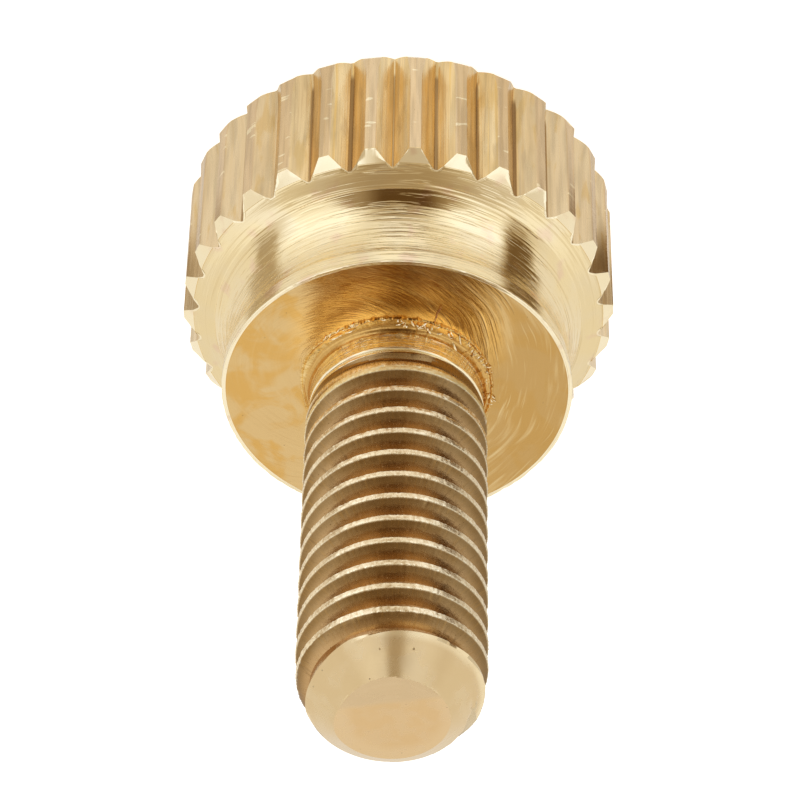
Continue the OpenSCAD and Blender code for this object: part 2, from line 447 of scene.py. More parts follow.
def chips():
    """What the die tore up between the burr and the neck, mostly on the photograph's right, and a fibre."""
    rng = np.random.default_rng(12)
    points, faces, slots = [], [], []

    def put(slot, *args):
        chip_points, chip_faces = sliver(*args)
        n = len(points)
        points.extend(chip_points)
        faces.extend([[i + n for i in f] for f in chip_faces])
        slots.extend([slot] * len(chip_faces))

    # Small scraps, then a fan of fine teeth
    for k in range(26):
        az = rng.uniform(-34, 4) if k < 15 else rng.uniform(-98, -34)
        put(CHIP, az, rng.uniform(2.46, 2.76), rng.uniform(0.0, 0.06), rng.uniform(100, 250),
            rng.uniform(0.1, 0.26), rng.uniform(0.03, 0.07), rng.uniform(0.02, 0.08),
            rng.uniform(-0.5, 0.5), 40 + k)
    for k in range(5):
        put(CHIP, -50.5 - 3.1 * k, 2.5 + 0.01 * k, 0.05, 4 - 3 * k, 0.2, 0.04, 0.05, 0.05, 80 + k)
    # The larger chips that the photograph shows one by one
    large_chips = (
        (-36, 2.52, 0.1, -118, 0.4, 0.055, 0.1, -0.12),
        (-37, 2.76, 0.03, -140, 0.34, 0.05, 0.05, 0.1),
        (-15, 2.74, 0.04, -160, 0.24, 0.05, 0.06, 0.1),
        (-20, 2.72, 0.04, -170, 0.22, 0.05, 0.07, -0.1),
        (44, 2.66, 0.02, -95, 0.42, 0.06, 0.05, -0.1),
        (33, 2.62, 0.02, -100, 0.32, 0.045, 0.04, 0.1),
        (-71, 2.6, 0.03, 90, 0.08, 0.07, 0.05, 0.0))
    for k, chip in enumerate(large_chips):
        put(CHIP, *chip, 90 + k)
    # Thin strips that lie along the burr's crest on the left
    for k in range(16):
        az = rng.uniform(6, 50)
        put(CHIP, az, ring_r(az) - rng.uniform(0.02, 0.06), 0.035, -90 + rng.uniform(-20, 20),
            rng.uniform(0.08, 0.18), rng.uniform(0.02, 0.04), 0.02, rng.uniform(-0.2, 0.2), 110 + k)
    put(FIBRE, -20, 2.86, 0.03, 2, 0.36, 0.022, 0.03, 0.1, 97)
    put(FIBRE, -19.5, 3.2, 0.05, 10, 0.26, 0.02, 0.02, -0.25, 98)
    return points, faces, slots


# ---- shank
STEPS = 400
# The grid's rows in one pitch, from the start of a crest, as shares of the pitch
PROFILE = np.array([0, 0.02, 0.05, 0.1, 0.135, CREST_W, 0.23, 0.31, 0.39, 0.565, 0.65, 0.73]) / PITCH
FLANK_W, THREAD_DEPTH = 0.235, 0.395
# The grid starts inside the foot; rows within the gap of an end lie on that end
SHANK_LO = NECK_END - 0.12
ROW_GAP = 0.012
# Above this height each row is cut into finer ones
FINE_FROM = 18.0
CUTS = 2
# Where the plain neck ends, and where the chamfer's metal starts
THREAD_FROM = COLLAR_Z + 1.33
TIP_FROM = COLLAR_Z + 11.3
NECK, THREAD, CONE, END = range(4)


def tip_cone(az, z):
    """Radius of the tip's chamfer, which was cut a little tilted and off the middle."""
    a = np.radians(az)
    slope = np.radians(TIP_ANGLE + TIP_TILT * np.cos(a) + TIP_SWELL * np.sin(a) ** 2)
    edge = 1.52 - 0.18 * bump_at(az, 60, 62) + 0.03 * bump_at(az, -5, 30)
    return edge + (TOP - z) / np.tan(slope)


def shank_r(deg, z):
    """Radius of neck and thread, the depth below the crest, and the place across the crest, 0 to 1."""
    az = az_of(deg)
    start = CREST_Z + PITCH * (deg % 360) / 360 - CREST_W / 2
    u = (z - start) % PITCH
    d = THREAD_DEPTH * np.clip(np.minimum((u - CREST_W) / FLANK_W, (PITCH - u) / FLANK_W), 0, 1)
    # The last groove is cut a little deeper, so it still shows beside the tip's chamfer
    d = d + 0.07 * bump_at(z, COLLAR_Z + 11.41 + PITCH * (az + 90) / 360, 0.13) * (d > THREAD_DEPTH * 0.9)
    # The thread fades in over about half a turn, and its last crests are worn
    turn = (z - (COLLAR_Z + 2.01)) / PITCH * 360
    fade = smooth(turn, -260, -90)
    r = THREAD_R - 0.006 - d * fade
    worn = 0.02 + 0.1 * smooth(z, 17.7, 18.7)
    r = np.minimum(r, THREAD_R - worn)
    # The neck widens in two soft steps; the die's first bite is a shallow groove in front
    neck = NECK_R - 0.03 + 0.06 * smooth(z, 8.3, 8.46) + 0.06 * smooth(z, 8.72, 8.88)
    r = np.where(z < 8.9, np.minimum(neck, r), r)
    bite = bump_at(az, 5, 50) ** 0.5
    r = r - 0.1 * bite * bump_at(z, COLLAR_Z + 1.1, 0.24)
    return r, d, u / CREST_W


def worn_r(a, z):
    """The shank's radius with its damage, the depth below the crest, and whether it lies on the chamfer."""
    az = az_of(a)
    r, depth, on_crest = shank_r(a, z)
    cut = smooth(z, COLLAR_Z + 1.3, COLLAR_Z + 1.5)
    land = depth < 0.03
    # The crests are pitted, and their edges torn
    dents = 0.016 * pits(41, a, z, 130, 8, 0.22, 0.5) + 0.01 * pits(42, a, z, 300, 19, 0.16, 0.5)
    rim = land & ((on_crest < 0.15) | (on_crest > 0.8))
    tear = 0.012 * noise(43, a, z, 210, 3, 2) + 0.008 * noise(44, a, z, 480, 8, 1)
    r = r - dents * np.where(land, 1, 0.35) * cut + np.where(rim, tear - 0.003, 0) * cut
    r = r + 0.0025 * noise(45, a, z, 160, 9, 2) * cut + 0.0012 * noise(46, a, z, 12, 12, 2)
    nick = bump_at(az, 25.5, 1.8) * bump_at(z, COLLAR_Z + 11.17, 0.16) * (depth < 0.12)
    r = np.minimum(r - 0.06 * nick, THREAD_R)
    # The chamfer has a scrape, and on the photograph's right its outer part lies lower, past a crease
    cone = tip_cone(az, z) + 0.0007 * noise(47, a, z, 16, 6, 2)
    scrape = 0.006 * bump_at(az, 52, 2.2)
    crease = 2.44 - 0.24 * smooth(-az, 14, 80)
    lower = 0.05 * smooth(-az, 14, 30) * (1 - smooth(-az, 140, 165)) * smooth(cone - crease, 0, 0.03)
    cone = cone - scrape - lower
    return np.minimum(r, cone), depth, cone < r


def end_z(x, y):
    """Height of the end face: its photographed side falls away a little."""
    return TOP - 0.05 * np.maximum(0, -(y - FLAT_Y - FLAT_SLANT * x))


def thread_rows(deg):
    """Heights of the grid's rows (rows, columns). Each climbs one pitch in a turn from the back."""
    base = CREST_Z - CREST_W / 2 + PITCH * (deg - 90) / 360 + PITCH * 0.25
    first = int(math.floor((SHANK_LO - base.max()) / PITCH)) - 1
    last = int(math.ceil((TOP - base.min()) / PITCH)) + 1
    climb = [q * PITCH + share * PITCH for q in range(first, last) for share in PROFILE]
    return np.array(climb)[:, None] + base[None, :]


def thread_grid(heights):
    """The shank's side. Gives its places (column, height), those on its two ends, and its faces."""
    n_p, n_rows = len(PROFILE), len(heights)
    fine_row = next(j for j in range(n_rows) if heights[j].min() > FINE_FROM and j % n_p == 0)
    places, index, faces = [], {}, []

    def vertex(i, j, s=0):
        """Number of the place at column i, row j and cut s. Rows clamp at both ends, and past the last column
        they go on one pitch higher."""
        if i >= STEPS:
            i, j = i - STEPS, j + n_p
        z = heights[j, i]
        if s:
            z = z + (heights[j + 1, i] - z) * s / (CUTS + 1)
        if z <= SHANK_LO + ROW_GAP:
            key, z = (i, "lo"), SHANK_LO
        elif z >= TOP - ROW_GAP:
            key, z = (i, "hi"), TOP
        else:
            key = (i, j, s)
        if key not in index:
            index[key] = len(places)
            places.append((i, z))
        return index[key]

    def side(i, j):
        """The places up one side of a cell, from row j to the next."""
        row = j + n_p if i >= STEPS else j
        between = range(1, CUTS + 1) if row >= fine_row else ()
        return [vertex(i, j)] + [vertex(i % STEPS, row, s) for s in between] + [vertex(i, j + 1)]

    for i in range(STEPS):
        for j in range(n_rows - n_p - 1):
            left, right = side(i, j), side(i + 1, j)
            if len(left) == len(right):
                loops = [[left[k], right[k], right[k + 1], left[k + 1]] for k in range(len(left) - 1)]
            else:
                loops = [right + left[::-1]]
            for loop in loops:
                face = [v for n, v in enumerate(loop) if v != loop[n - 1]]
                if len(set(face)) > 2:
                    faces.append(face)
    low, high = ([index[(i, end)] for i in range(STEPS)] for end in ("lo", "hi"))
    return np.array(places), low, high, faces


def shank_slot(heights, depths, on_cone):
    """Material slot of a face of the shank's side, from its corners."""
    if on_cone.mean() > 0.5 or heights.mean() > TIP_FROM:
        return CONE
    return NECK if heights.mean() < THREAD_FROM and depths.max() < 0.03 else THREAD


def pairs(loop):
    """The edges of a closed loop."""
    return zip(loop, loop[1:] + loop[:1])


def close_tip(points, faces, slots, edge):
    """The end face, with a shallow flat in front and the soft rings of the parting tool."""
    ring = edge
    corners = [points[v] for v in edge]
    for k in (0.975, 0.94, 0.87, 0.78, 0.68, 0.57, 0.46, 0.36, 0.26, 0.17, 0.09):
        inner = []
        for x, y, _ in corners:
            px, py = x * k + END_X * (1 - k), y * k + END_Y * (1 - k)
            rho = math.hypot(px - END_X, py - END_Y)
            dip = 0.004 * (1 - k) + 0.0022 * math.sin(rho * 17) * smooth(rho, 1.0, 0.2) * (1 - k)
            points.append([px, py, float(end_z(px, py) - dip)])
            inner.append(len(points) - 1)
        faces += [[a, b, d, c] for (a, b), (c, d) in zip(pairs(ring), pairs(inner))]
        slots += [END] * STEPS
        ring = inner
    points.append([END_X, END_Y, TOP - 0.005])
    faces += [[a, b, len(points) - 1] for a, b in pairs(ring)]
    slots += [END] * STEPS


def shank():
    """The neck's upper part, the thread and the tip, as one closed grid whose rows follow the thread."""
    deg = np.arange(STEPS) * 360 / STEPS + 90
    places, low, high, faces = thread_grid(thread_rows(deg))
    a, z = deg[places[:, 0].astype(int)] % 360, places[:, 1]
    r, depth, on_cone = worn_r(a, z)
    hidden_r = 2.25
    points = polar(a, np.where(z <= SHANK_LO + ROW_GAP, hidden_r, r), z)
    top = z >= TOP - ROW_GAP
    points[top, 2] = end_z(points[top, 0], points[top, 1])
    slots = [shank_slot(z[f], depth[f], on_cone[f]) for f in faces]
    points = points.tolist()
    points.append([0, 0, SHANK_LO])
    faces += [[b, a, len(points) - 1] for a, b in pairs(low)]
    slots += [NECK] * STEPS
    close_tip(points, faces, slots, high)
    return points, faces, slots


# ---- materials
QUARTER_TURN = 0.25


class Graph:
    """Short names for the nodes of one shader tree. A value is a number, a colour or an output socket."""

    def __init__(self, tree):
        self.tree = tree

    def node(self, kind, inputs=(), **props):
        n = self.tree.nodes.new(kind)
        for k, v in props.items():
            setattr(n, k, v)
        for k, v in dict(inputs).items():
            self.put(n.inputs[k], v)
        return n

    def put(self, socket, v):
        if isinstance(v, bpy.types.NodeSocket):
            self.tree.links.new(v, socket)
        elif v is not None:
            socket.default_value = v

    def math(self, op, a, b=None):
        n = self.node("ShaderNodeMath", {0: a} if b is None else {0: a, 1: b}, operation=op)
        return n.outputs[0]

    def mul(self, a, b):
        return self.math("MULTIPLY", a, b)

    def add(self, a, b):
        return self.math("ADD", a, b)

    def sub(self, a, b):
        return self.math("SUBTRACT", a, b)

    def div(self, a, b):
        return self.math("DIVIDE", a, b)

    def abs(self, a):
        return self.math("ABSOLUTE", a)

    def step(self, v, lo, hi, out_lo=0.0, out_hi=1.0):
        """out_lo below lo, out_hi above hi, smooth between; lo may be the greater."""
        if lo > hi:
            lo, hi, out_lo, out_hi = hi, lo, out_hi, out_lo
        limits = {1: float(lo), 2: float(hi), 3: float(out_lo), 4: float(out_hi)}
        n = self.node("ShaderNodeMapRange", {0: v, **limits}, interpolation_type="SMOOTHSTEP")
        return n.outputs[0]

    def toward(self, base, goal, share):
        """base where share is 0, goal where it is 1."""
        return self.add(base, self.mul(share, self.sub(goal, base)))

    def shade(self, level, where, depth):
        """The level with depth of itself taken away where the mask is 1."""
        return self.mul(level, self.sub(1.0, self.mul(where, depth)))

    def length(self, x, y):
        return self.math("SQRT", self.add(self.mul(x, x), self.mul(y, y)))

    def bearing(self, x, y):
        """Degrees round the axis from the photographer's side, + to the photograph's left."""
        return self.mul(self.math("ARCTAN2", x, self.mul(y, -1.0)), 180 / math.pi)

    def vec(self, x, y, z):
        return self.node("ShaderNodeCombineXYZ", {0: x, 1: y, 2: z}).outputs[0]

    def noise(self, v, scale=1.0, detail=2.0, rough=0.5, distort=0.0):
        look = {"Scale": scale, "Detail": detail, "Roughness": rough, "Distortion": distort}
        return self.node("ShaderNodeTexNoise", {"Vector": v, **look}, noise_dimensions="3D").outputs[0]

    def mix(self, share, a, b, blend="MIX"):
        """Colour a where share is 0, colour b where it is 1."""
        n = self.node("ShaderNodeMix", {0: share}, data_type="RGBA", blend_type=blend)
        for socket, colour in ((6, a), (7, b)):
            self.put(n.inputs[socket], (*colour, 1) if isinstance(colour, tuple) else colour)
        return n.outputs[2]

    def tint(self, colour, goal, v, lo, hi, most):
        """The colour, turned by up to most of the way to goal as v goes from lo to hi."""
        return self.mix(self.step(v, lo, hi, 0, most), colour, goal)

    def dim(self, colour, k):
        return self.mix(1.0, colour, self.vec(k, k, k), "MULTIPLY")

    def place(self):
        """The object's own coordinates in millimetres."""
        at = self.node("ShaderNodeTexCoord").outputs["Object"]
        return self.node("ShaderNodeVectorMath", {0: at, "Scale": 1 / MM}, operation="SCALE").outputs[0]

    def split(self, v):
        return self.node("ShaderNodeSeparateXYZ", {0: v}).outputs

    def plain_to_camera(self, plain, mirrored, output):
        """The camera sees the plain shader; the metal mirrors the other."""
        seen = self.node("ShaderNodeLightPath").outputs["Is Camera Ray"]
        both = self.node("ShaderNodeMixShader", {0: seen, 1: mirrored.outputs[0], 2: plain.outputs[0]})
        self.put(self.tree.nodes[output].inputs["Surface"], both.outputs[0])


class Brass(Graph):
    """A metal's tree, with x, y, z and the radius in millimetres, and the direction from the axis."""

    def __init__(self, name, aniso):
        self.mat = bpy.data.materials.new(name)
        self.mat.use_nodes = True
        super().__init__(self.mat.node_tree)
        self.shader = self.tree.nodes["Principled BSDF"]
        self.shader.inputs["Metallic"].default_value = 1
        if aniso:
            self.shader.inputs["Anisotropic"].default_value = aniso
            self.shader.inputs["Anisotropic Rotation"].default_value = QUARTER_TURN
            t = self.node("ShaderNodeTangent", direction_type="RADIAL", axis="Z")
            self.tree.links.new(t.outputs[0], self.shader.inputs["Tangent"])
        self.point = self.place()
        self.x, self.y, self.z = self.split(self.point)
        self.r = self.length(self.x, self.y)
        safe = self.math("MAXIMUM", self.r, 0.01)
        self.cx, self.cy = self.div(self.x, safe), self.div(self.y, safe)

    def ring(self, around, along, coord):
        """A vector for noise that varies around the axis and along coord, faster the larger the two are."""
        return self.vec(self.mul(self.cx, around), self.mul(self.cy, around), self.mul(coord, along))

    def marks(self, around, along, coord, detail, rough=0.5, distort=0.0):
        return self.noise(self.ring(around, along, coord), 1, detail, rough, distort)

    def grain(self, per_mm, detail, rough=0.5, distort=0.0):
        return self.noise(self.point, per_mm, detail, rough, distort)

    def holes(self, colour, spots, lo, hi, dark):
        """The colour, darker in pin-holes."""
        return self.dim(colour, self.step(spots, lo, hi, dark, 1.0))

    def spots(self, per_mm):
        """Distance from the nearest of some scattered points, in spacings of the points."""
        return self.node("ShaderNodeTexVoronoi", {"Vector": self.point, "Scale": per_mm}).outputs["Distance"]

    def finish(self, colour, rough, height=None, depth=0.002):
        self.put(self.shader.inputs["Base Color"], colour)
        self.put(self.shader.inputs["Roughness"], rough)
        if height is not None:
            b = self.node("ShaderNodeBump", {"Strength": 1.0, "Distance": depth * MM, "Height": height})
            self.tree.links.new(b.outputs[0], self.shader.inputs["Normal"])
        return self.mat


def knurl_brass():
    """Drawn streaks and stains along the grooves, turning marks round the lands."""
    g = Brass("knurled_brass", 0)
    streak = g.marks(170, 0.3, g.z, 3, 0.6)
    band = g.marks(46, 0.12, g.z, 2)
    patch = g.marks(14, 0.4, g.z, 3)
    grit = g.grain(20, 4, 0.6)
    land = g.mul(g.step(g.r, HEAD_R - 0.05, HEAD_R - 0.022), g.step(g.z, 4.24, 4.18))
    feed = g.marks(5, 13, g.z, 2)
    mark = g.step(g.marks(9, 4.2, g.z, 1, 0.5), 0.66, 0.7)
    spot = g.spots(5.0)
    col = g.mix(g.step(patch, 0.4, 0.62), (0.8, 0.57, 0.27), (0.83, 0.63, 0.34))
    col = g.tint(col, (0.8, 0.5, 0.14), band, 0.52, 0.64, 0.65)
    col = g.tint(col, (0.6, 0.42, 0.21), streak, 0.48, 0.72, 0.6)
    dark = g.marks(26, 0.5, g.z, 2)
    col = g.tint(col, (0.52, 0.36, 0.17), dark, 0.58, 0.7, 0.5)
    # Painted highlight: the knurl is paler towards the head's sides, where |x| is large
    col = g.mix(g.step(g.abs(g.x), 2.2, 4.6, 0, 0.75), col, (0.85, 0.69, 0.46))
    stain = g.marks(22, 0.55, g.add(g.z, 7.0), 3)
    col = g.tint(col, (0.74, 0.5, 0.19), stain, 0.56, 0.66, 0.55)
    # Painted shade darkens the grooves' floors, and the lands are paler and pinker than the grooves
    floor = g.mul(g.step(g.r, 5.625, 5.6), g.step(band, 0.3, 0.6, 0.6, 1.0))
    col = g.mix(floor, col, (0.34, 0.19, 0.065))
    land_col = g.mix(g.step(stain, 0.42, 0.58), (0.7, 0.51, 0.3), (0.76, 0.56, 0.33))
    col = g.mix(g.mul(land, 0.8), col, land_col)
    col = g.mix(g.mul(g.mul(land, mark), 0.9), col, (0.97, 0.82, 0.54))
    col = g.holes(col, spot, 0.02, 0.06, 0.6)
    uneven = g.marks(36, 0.35, g.z, 2)
    col = g.dim(col, g.step(uneven, 0.38, 0.62, 0.88, 1.06))
    h = g.add(g.mul(streak, 0.8), g.mul(grit, 0.05))
    h = g.add(h, g.mul(g.mul(feed, land), 0.8))
    h = g.add(h, g.step(spot, 0.0, 0.08, -0.8, 0))
    rough = g.step(g.add(g.mul(patch, 0.8), g.mul(streak, 0.7)), 0.5, 1.0, 0.18, 0.32)
    return g.finish(col, rough, h, 0.006)


def turned_brass(name, plain, warm):
    """Bright turned brass with the tool's rings, faint pink patches and pin-holes."""
    g = Brass(name, 0.5)
    path = g.add(g.z, g.r)
    fine = g.marks(1.5, 16, path, 3, 0.6)
    broken = g.marks(3.5, 24, path, 2, 0.6)
    broad = g.marks(0.8, 4.5, path, 1)
    patch = g.grain(0.9, 2)
    pink = g.grain(1.3, 2)
    spot = g.spots(4.0)
    col = g.mix(g.step(patch, 0.35, 0.7), plain, warm)
    col = g.tint(col, (0.84, 0.6, 0.42), pink, 0.58, 0.72, 0.6)
    col = g.holes(col, spot, 0.012, 0.04, 0.6)
    line = g.step(g.marks(1.6, 34, path, 1, 0.5), 0.6, 0.72)
    col = g.mix(g.mul(line, 0.3), col, (0.66, 0.48, 0.22))
    h = g.add(g.mul(fine, 1.1), g.mul(broad, 1.0))
    h = g.add(h, g.mul(g.step(broken, 0.52, 0.72), 0.6))
    h = g.add(h, g.mul(line, -0.5))
    return g.finish(col, g.step(fine, 0.3, 0.8, 0.06, 0.16), h, 0.008)


def faced_brass():
    """The faced collar: long curved strokes that swing off the middle, on golden and paler patches."""
    g = Brass("faced_brass", 0.4)
    # Distance from a point beside the axis, so the strokes cut across the true circles
    ox, oy = g.add(g.x, -1.5), g.add(g.y, 0.9)
    sweep = g.add(g.length(ox, oy), g.mul(g.noise(g.point, 0.5, 1, 0.5), 0.5))
    fine = g.marks(1.6, 13, sweep, 3, 0.62)
    strokes = g.marks(1.8, 5, sweep, 2, 0.6)
    scratch = g.marks(2.4, 17, sweep, 1)
    broad = g.marks(1.6, 1.4, g.r, 2)
    patch = g.grain(0.85, 3, 0.55, 0.6)
    spot = g.spots(2.6)
    spot2 = g.spots(7.0)
    # The strokes are plain on the photograph's right and faint on its left
    bold = g.step(g.x, 2.2, -1.2, 0.22, 1.0)
    col = g.mix(g.step(patch, 0.4, 0.58), (0.71, 0.42, 0.12), (0.73, 0.5, 0.22))
    # Painted shade: the collar face darkens towards the photograph's right (-x)
    col = g.tint(col, (0.54, 0.32, 0.1), g.x, 1.0, -3.0, 0.8)
    # Painted reflection of the shank: close to the neck, in front, the metal is a deeper golden colour
    painted_shank_reflection = g.mul(g.step(g.r, 4.9, 3.3), g.step(g.y, -0.5, -2.4))
    painted_shank_reflection = g.mul(painted_shank_reflection, g.step(g.abs(g.x), 3.4, 2.0))
    col = g.mix(g.mul(painted_shank_reflection, 0.85), col, (1.0, 0.6, 0.17))
    col = g.mix(g.mul(bold, g.step(strokes, 0.5, 0.72, 0, 0.45)), col, (0.8, 0.6, 0.3))
    col = g.mix(g.mul(bold, g.step(scratch, 0.62, 0.78, 0, 0.4)), col, (0.88, 0.7, 0.38))
    col = g.mix(g.mul(bold, g.step(scratch, 0.4, 0.26, 0, 0.25)), col, (0.56, 0.34, 0.1))
    col = g.holes(col, spot, 0.02, 0.05, 0.45)
    col = g.holes(col, spot2, 0.03, 0.07, 0.75)
    h = g.add(g.mul(fine, 0.9), g.mul(broad, 1.6))
    h = g.add(h, g.mul(bold, g.add(g.mul(strokes, 0.8), g.mul(scratch, 0.35))))
    return g.finish(col, g.step(fine, 0.3, 0.8, 0.09, 0.2), h, 0.01)


def foot_brass():
    """Torn and squeezed metal round the neck."""
    g = Brass("torn_brass", 0)
    tear = g.marks(24, 5, g.add(g.z, g.r), 4, 0.6, 0.8)
    grit = g.grain(7, 3, 0.6)
    ring = g.marks(1.5, 18, g.add(g.z, g.r), 2, 0.6)
    col = g.mix(g.step(tear, 0.4, 0.65), (0.74, 0.47, 0.15), (0.9, 0.66, 0.3))
    col = g.holes(col, grit, 0.28, 0.42, 0.6)
    # Painted shade: the fillet behind the burr is darker
    col = g.tint(col, (0.66, 0.39, 0.12), g.r, 2.62, 2.52, 0.85)
    h = g.add(g.mul(tear, 0.35), g.add(g.mul(grit, 0.7), g.mul(ring, 0.8)))
    return g.finish(col, g.step(grit, 0.35, 0.7, 0.12, 0.26), h, 0.008)


def thread_brass():
    """The thread: brown flanks darkened with painted shade, with dragged lines and pin-holes, and pale crests
    with painted glints on one edge.
    """
    g = Brass("thread_brass", 0)
    # Place across the thread, in pitches: 0 in the middle of a crest
    turn = g.div(g.math("ARCTAN2", g.y, g.x), 2 * math.pi)
    helix = g.sub(g.div(g.add(g.z, -CREST_Z), PITCH), turn)
    along = g.sub(g.math("FRACT", g.add(helix, 0.5)), 0.5)
    on_top = g.mul(g.step(g.abs(along), 0.12, 0.095), g.step(g.r, 2.28, 2.34))
    first = g.mul(g.step(g.z, 9.45, 9.25), on_top)
    crest = g.math("MAXIMUM", g.step(g.r, 2.44, 2.48), on_top)
    tip_edge = g.mul(g.step(along, 0.03, 0.07), g.step(along, 0.15, 0.11))
    grit = g.grain(16, 4, 0.6)
    painted_glint = g.marks(60, 3, g.z, 2, 0.6)
    worn = g.marks(26, 5, g.z, 3, 0.6)
    drag = g.marks(6, 22, g.z, 3, 0.6)
    across = g.marks(46, 3, g.z, 2)
    patch = g.grain(1.1, 3, 0.55)
    spot = g.spots(8.0)
    speck = g.spots(4.0)
    # The flanks' dark brown is painted shade of the thread's grooves; towards the root they turn a lighter
    # amber
    flank_with_painted_shade = g.mix(g.step(patch, 0.35, 0.65), (0.29, 0.168, 0.06), (0.33, 0.205, 0.085))
    flank_with_painted_shade = g.mix(g.step(g.r, 2.42, 2.12), flank_with_painted_shade, (0.58, 0.365, 0.165))
    flank_with_painted_shade = g.tint(flank_with_painted_shade, (0.44, 0.25, 0.08), across, 0.5, 0.75, 0.5)
    stain = g.marks(16, 4, g.z, 3, 0.6)
    flank_with_painted_shade = g.tint(flank_with_painted_shade, (0.24, 0.14, 0.055), stain, 0.55, 0.75, 0.5)
    rubbed = g.add(g.mul(grit, 0.4), g.mul(worn, 0.6))
    top = g.mix(g.step(rubbed, 0.38, 0.6), (0.72, 0.54, 0.31), (0.98, 0.82, 0.55))
    # Painted highlight: glints along the crests' tip-side edge
    top = g.mix(g.mul(tip_edge, g.step(painted_glint, 0.42, 0.62)), top, (1.0, 0.88, 0.62))
    # Painted highlight: the first crest is paler
    top = g.mix(g.mul(first, 0.8), top, (1.0, 0.9, 0.56))
    col = g.mix(crest, flank_with_painted_shade, top)
    # Painted highlight: the last of the flanks is paler where the tip's chamfer cuts it
    slope = g.add(g.mul(g.cy, -TIP_TILT), g.add(g.mul(g.mul(g.cx, g.cx), TIP_SWELL), TIP_ANGLE))
    drop = g.sub(TOP, g.z)
    chamfer = g.add(g.div(drop, g.math("TANGENT", g.mul(slope, math.pi / 180))), 1.48)
    inside = g.sub(chamfer, g.r)
    col = g.tint(col, (0.92, 0.75, 0.47), inside, 0.24, 0.08, 0.9)
    # Painted shade: the photograph's right side is a little darker
    col = g.dim(col, g.step(g.x, -0.2, -1.7, 1.0, 0.8))
    col = g.holes(col, spot, 0.03, 0.1, 0.55)
    col = g.holes(col, speck, 0.02, 0.05, 0.35)
    h = g.add(g.mul(grit, 0.5), g.mul(drag, 0.8))
    h = g.add(h, g.step(spot, 0.0, 0.14, -1.2, 0))
    rough = g.add(g.step(grit, 0.35, 0.7, 0.2, 0.3), g.add(g.mul(crest, 0.06), g.mul(first, 0.16)))
    return g.finish(col, rough, h, 0.004)


def cone_brass():
    """The tip's chamfer: pale, with faint rings and pin-holes."""
    g = Brass("tip_brass", 0.3)
    fine = g.marks(3, 11, g.add(g.r, g.z), 3, 0.6)
    patch = g.grain(1.2, 3)
    grit = g.grain(12, 3, 0.6)
    spot = g.spots(2.2)
    col = g.mix(g.step(patch, 0.4, 0.62), (0.76, 0.575, 0.32), (0.79, 0.62, 0.37))
    # Painted highlight: a bright edge where the chamfer meets the thread
    col = g.mix(g.mul(g.step(g.r, 2.2, 2.34), g.step(patch, 0.3, 0.6, 0.5, 1.0)), col, (0.97, 0.81, 0.52))
    col = g.holes(col, spot, 0.02, 0.07, 0.55)
    h = g.add(g.mul(fine, 0.7), g.add(g.mul(grit, 0.12), g.step(spot, 0.0, 0.09, -1.5, 0)))
    return g.finish(col, g.step(patch, 0.3, 0.7, 0.22, 0.32), h, 0.004)


def end_brass():
    """The end face: golden, with soft rings, and a duller pinkish flat in front."""
    g = Brass("end_brass", 0.2)
    off = g.length(g.add(g.x, -END_X), g.add(g.y, -END_Y))
    rings = g.noise(g.vec(g.mul(off, 4.5), 0.0, 0.0), 1, 3)
    past_line = g.add(g.mul(g.y, -1.0), g.add(g.mul(g.x, FLAT_SLANT), FLAT_Y))
    front = g.step(past_line, -0.1, 0.12)
    patch = g.grain(2.0, 3)
    grit = g.grain(12, 3, 0.6)
    spot = g.spots(2.8)
    col = g.mix(g.step(patch, 0.38, 0.64), (0.74, 0.505, 0.25), (0.76, 0.54, 0.29))
    col = g.mix(g.mul(g.step(off, 1.0, 1.4), 0.5), col, (0.8, 0.6, 0.35))
    col = g.mix(g.mul(front, 0.85), col, (0.71, 0.53, 0.31))
    col = g.holes(col, spot, 0.02, 0.07, 0.55)
    h = g.add(g.mul(rings, 2.0), g.mul(grit, 0.1))
    return g.finish(col, g.step(patch, 0.3, 0.7, 0.22, 0.3), h, 0.004)


def fibre_stuff():
    """Red textile."""
    g = Brass("fibre", 0)
    g.shader.inputs["Metallic"].default_value = 0
    twist = g.grain(14, 2)
    col = g.mix(g.step(twist, 0.4, 0.6), (0.2, 0.03, 0.03), (0.32, 0.07, 0.06))
    return g.finish(col, g.step(twist, 0.3, 0.7, 0.6, 0.8), twist, 0.003)


def build():
    """The four pieces that stand for the part."""
    knurl, faced, torn = knurl_brass(), faced_brass(), foot_brass()
    turned = turned_brass("turned_brass", (0.9, 0.73, 0.42), (0.88, 0.73, 0.46))
    # A paler copy of the turned brass, for the neck, the knurl's end facets, the bead and the chips: its
    # extra brightness is a painted highlight
    neck = turned_brass("pale_brass_painted_highlight", (1.0, 0.88, 0.62), (1.0, 0.86, 0.58))
    pieces = (("knurled_head", head(), (faced, knurl, neck, turned, faced, neck)),
              ("neck_foot", foot(), (torn, torn, neck)),
              ("torn_chips", chips(), (neck, fibre_stuff())),
              ("shank", shank(), (neck, thread_brass(), cone_brass(), end_brass())))
    for name, (points, faces, slots), mats in pieces:
        piece = make_object(name, points, faces, mats, slots)
        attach(piece, "root")
        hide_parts("thumb_screw")


# ---- studio
# Bearing, swing near the part, half width and depth of the floor's dark band past each soft box
FLOOR_BANDS = ((-67, -5, 10, 0.88), (76, 6, 8, 0.56))
# Side, inner edge, outer end, lift and brightness of the soft boxes
SOFT_BOXES = ((1, 14, 62, 1, 1.36), (-1, 12, 57, -3, 1.3))
# Bearing, half width, top and depth of the dark strip past each of them
STRIPS = ((-66, 10, 10, 0.62), (76, 8, 6, 0.42))


def warm_where_dim(g, level):
    """The light's colour: white at full strength and warmer the dimmer it is."""
    level = g.math("MAXIMUM", level, 0.01)
    return g.vec(g.math("POWER", level, 0.78), level, g.math("POWER", level, 1.38))


